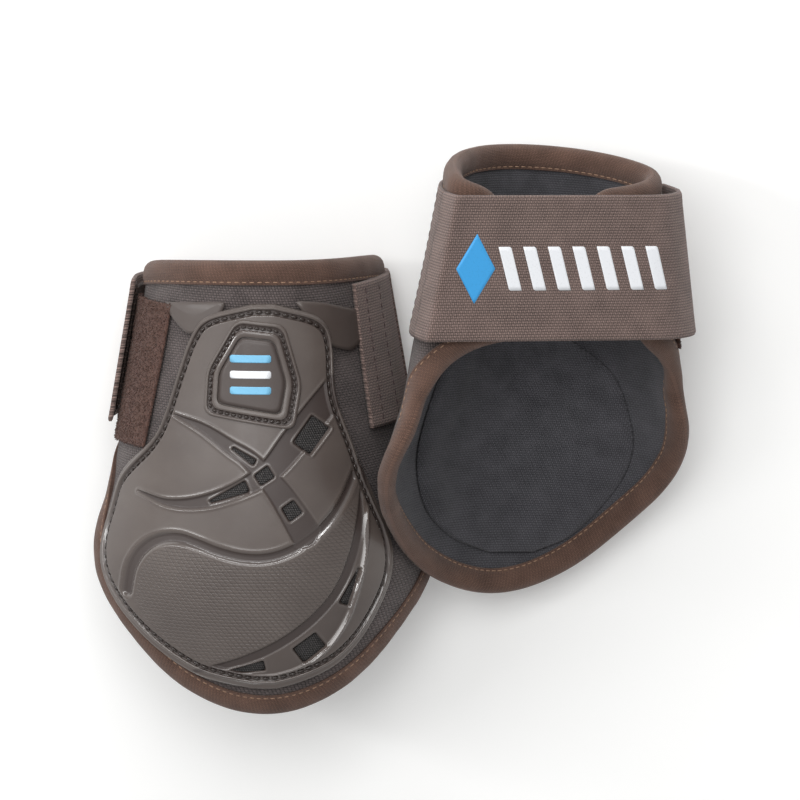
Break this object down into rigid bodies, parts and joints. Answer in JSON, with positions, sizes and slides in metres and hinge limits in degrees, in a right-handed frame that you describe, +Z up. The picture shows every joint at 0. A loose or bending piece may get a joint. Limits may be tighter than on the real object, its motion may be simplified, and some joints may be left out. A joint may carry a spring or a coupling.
{
  "type": "fetlock boots",
  "caption": "Pair of padded horse leg boots with moulded shells, wide elastic straps with hook-and-loop ends and a bound rim, laid out flat.",
  "frame": {"origin": "centre of the left boot's strap, on the outer face that rests on the floor", "axes": "+X across from the left boot to the right boot, +Y up the leg towards the collars, +Z up from the floor, out of the left boot's shell"},
  "size_m": [0.2012, 0.1871, 0.0891],
  "materials": {
    "shell": "satin moulded",
    "liner": "matt jersey over neoprene",
    "strike_pad": "matt jersey",
    "binding": "ribbed stretch tape",
    "badge_frame": "semi-gloss moulded",
    "badge_plate": "gloss carbon weave",
    "badge_stripes": "gloss",
    "loop": "fuzzy loop pile",
    "strap": "woven elastic",
    "hook": "hook tape",
    "print": "screen print",
    "thread": "sewing thread",
    "vent_mesh": "spacer mesh"
  },
  "bodies": {
    "left_boot": {"left_shell": "shell", "left_liner": "liner", "left_strike_pad": "strike_pad", "left_collar_binding": "binding", "left_rim_binding": "binding", "left_badge_frame": "badge_frame", "left_badge_plate": "badge_plate", "left_badge_stripes": "badge_stripes", "left_loop_patch": "loop", "left_strap_base": "strap", "left_shell_stitching": "thread", "left_badge_stitching": "thread", "left_strap_stitching": "thread", "left_vent_mesh": "vent_mesh"},
    "left_strap": {"left_strap_span": "strap", "left_strap_print": "print"},
    "left_tab": {"left_strap_tab": "strap", "left_hook_pad": "hook"},
    "right_boot": {"right_shell": "shell", "right_liner": "liner", "right_strike_pad": "strike_pad", "right_collar_binding": "binding", "right_rim_binding": "binding", "right_badge_frame": "badge_frame", "right_badge_plate": "badge_plate", "right_badge_stripes": "badge_stripes", "right_loop_patch": "loop", "right_strap_base": "strap", "right_shell_stitching": "thread", "right_badge_stitching": "thread", "right_strap_stitching": "thread", "right_vent_mesh": "vent_mesh"},
    "right_strap": {"right_strap_span": "strap", "right_strap_print": "print"},
    "right_tab": {"right_strap_tab": "strap", "right_hook_pad": "hook"}
  },
  "joints": [
    {"name": "left_strap_opens", "type": "hinge", "parent": "left_boot", "child": "left_strap", "pos_m": [0.04563, 0, 0.011], "axis": [0.1692, -0.9856, 0], "range_deg": [0, 100]},
    {"name": "left_tab_peels", "type": "hinge", "parent": "left_strap", "child": "left_tab", "pos_m": [-0.04059, 0, 0.00382], "axis": [-0.1408, -0.99, 0], "range_deg": [0, 80]},
    {"name": "right_strap_opens", "type": "hinge", "parent": "right_boot", "child": "right_strap", "pos_m": [0.05405, 0.03553, 0.07789], "axis": [-0.2018, -0.9777, 0.0579], "range_deg": [0, 100]},
    {"name": "right_tab_peels", "type": "hinge", "parent": "right_strap", "child": "right_tab", "pos_m": [0.13744, 0.03189, 0.05514], "axis": [0.089, -0.9949, -0.0482], "range_deg": [0, 80]},
    {"name": "right_boot_lifts_off", "type": "slide", "parent": "left_boot", "child": "right_boot", "axis": [0, 0, 1], "range_m": [0, 0.12]}
  ]
}
